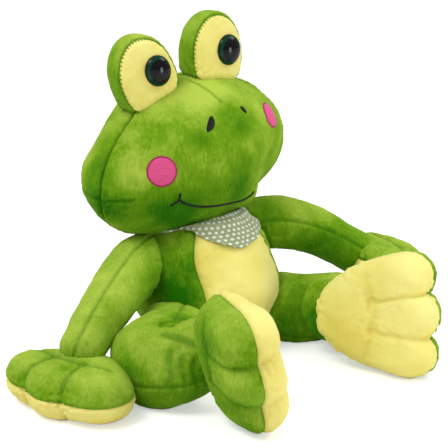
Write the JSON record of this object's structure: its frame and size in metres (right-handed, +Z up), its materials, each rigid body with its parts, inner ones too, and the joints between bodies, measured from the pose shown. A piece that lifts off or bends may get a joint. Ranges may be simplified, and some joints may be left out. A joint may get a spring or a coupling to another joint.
{
  "type": "plush frog",
  "caption": "Sitting plush frog with long jointed limbs, raised eye bulges, a yellow belly, soles and palms, and a dotted bandana.",
  "frame": {"origin": "middle of the flat seat under the torso", "axes": "+Z up, the frog faces -Y, its left side is +X"},
  "size_m": [0.5103, 0.3384, 0.3358],
  "materials": {
    "green_pile": "short green pile",
    "yellow_pile": "short yellow pile",
    "stuffing": "loose polyester fibre",
    "bandana_cloth": "plain weave cotton with dots",
    "eye_plastic": "polished",
    "washer_plastic": "moulded",
    "black_thread": "satin stitch",
    "pink_thread": "satin stitch"
  },
  "bodies": {
    "torso": {"torso_back": "green_pile", "belly_panel": "yellow_pile", "torso_stuffing": "stuffing", "bandana": "bandana_cloth", "bandana_knot": "bandana_cloth"},
    "head": {"head_face": "green_pile", "head_back": "green_pile", "head_chin": "green_pile", "head_stuffing": "stuffing", "eye_front_right": "yellow_pile", "eye_back_right": "green_pile", "eye_stuffing_right": "stuffing", "eye_right": "eye_plastic", "washer_right": "washer_plastic", "eye_front_left": "yellow_pile", "eye_back_left": "green_pile", "eye_stuffing_left": "stuffing", "eye_left": "eye_plastic", "washer_left": "washer_plastic", "nostril_right": "black_thread", "nostril_left": "black_thread", "mouth": "black_thread", "cheek_right": "pink_thread", "cheek_left": "pink_thread"},
    "arm_right": {"arm_upper_right": "green_pile", "arm_lower_right": "green_pile", "arm_stuffing_right": "stuffing"},
    "hand_right": {"hand_back_right": "green_pile", "palm_right": "yellow_pile", "hand_stuffing_right": "stuffing"},
    "arm_left": {"arm_upper_left": "green_pile", "arm_lower_left": "green_pile", "arm_stuffing_left": "stuffing"},
    "hand_left": {"hand_back_left": "green_pile", "palm_left": "yellow_pile", "hand_stuffing_left": "stuffing"},
    "leg_right": {"leg_upper_right": "green_pile", "leg_lower_right": "green_pile", "leg_stuffing_right": "stuffing"},
    "foot_right": {"foot_top_right": "green_pile", "sole_right": "yellow_pile", "foot_stuffing_right": "stuffing"},
    "leg_left": {"leg_upper_left": "green_pile", "leg_lower_left": "green_pile", "leg_stuffing_left": "stuffing"},
    "foot_left": {"foot_top_left": "green_pile", "sole_left": "yellow_pile", "foot_stuffing_left": "stuffing"}
  },
  "joints": [
    {"name": "neck_turn", "type": "hinge", "parent": "torso", "child": "head", "pos_m": [0, 0.006, 0.088], "axis": [0, 0, 1], "range_deg": [-20, 20]},
    {"name": "shoulder_right", "type": "hinge", "parent": "torso", "child": "arm_right", "pos_m": [-0.058, 0.014, 0.095], "axis": [-0.4226, 0.9063, 0], "range_deg": [-4, 20]},
    {"name": "wrist_right", "type": "hinge", "parent": "arm_right", "child": "hand_right", "pos_m": [-0.17723, -0.0416, 0.04712], "axis": [-0.2419, 0.9703, 0], "range_deg": [-5, 20]},
    {"name": "shoulder_left", "type": "hinge", "parent": "torso", "child": "arm_left", "pos_m": [0.058, 0.014, 0.106], "axis": [-0.4695, -0.8829, 0], "range_deg": [-8, 20]},
    {"name": "wrist_left", "type": "hinge", "parent": "arm_left", "child": "hand_left", "pos_m": [0.1774, -0.04949, 0.06977], "axis": [-0.2756, -0.9613, 0], "range_deg": [-10, 20]},
    {"name": "hip_right", "type": "hinge", "parent": "torso", "child": "leg_right", "pos_m": [-0.05, -0.026, 0.037], "axis": [-1, 0, 0], "range_deg": [-12, 12]},
    {"name": "ankle_right", "type": "hinge", "parent": "leg_right", "child": "foot_right", "pos_m": [-0.093, -0.132, 0.052], "axis": [0, 0, 1], "range_deg": [-12, 12]},
    {"name": "hip_left", "type": "hinge", "parent": "torso", "child": "leg_left", "pos_m": [0.05, -0.026, 0.037], "axis": [-1, 0, 0], "range_deg": [-12, 12]},
    {"name": "ankle_left", "type": "hinge", "parent": "leg_left", "child": "foot_left", "pos_m": [0.06, -0.119, 0.052], "axis": [0, 0, 1], "range_deg": [-12, 12]}
  ]
}
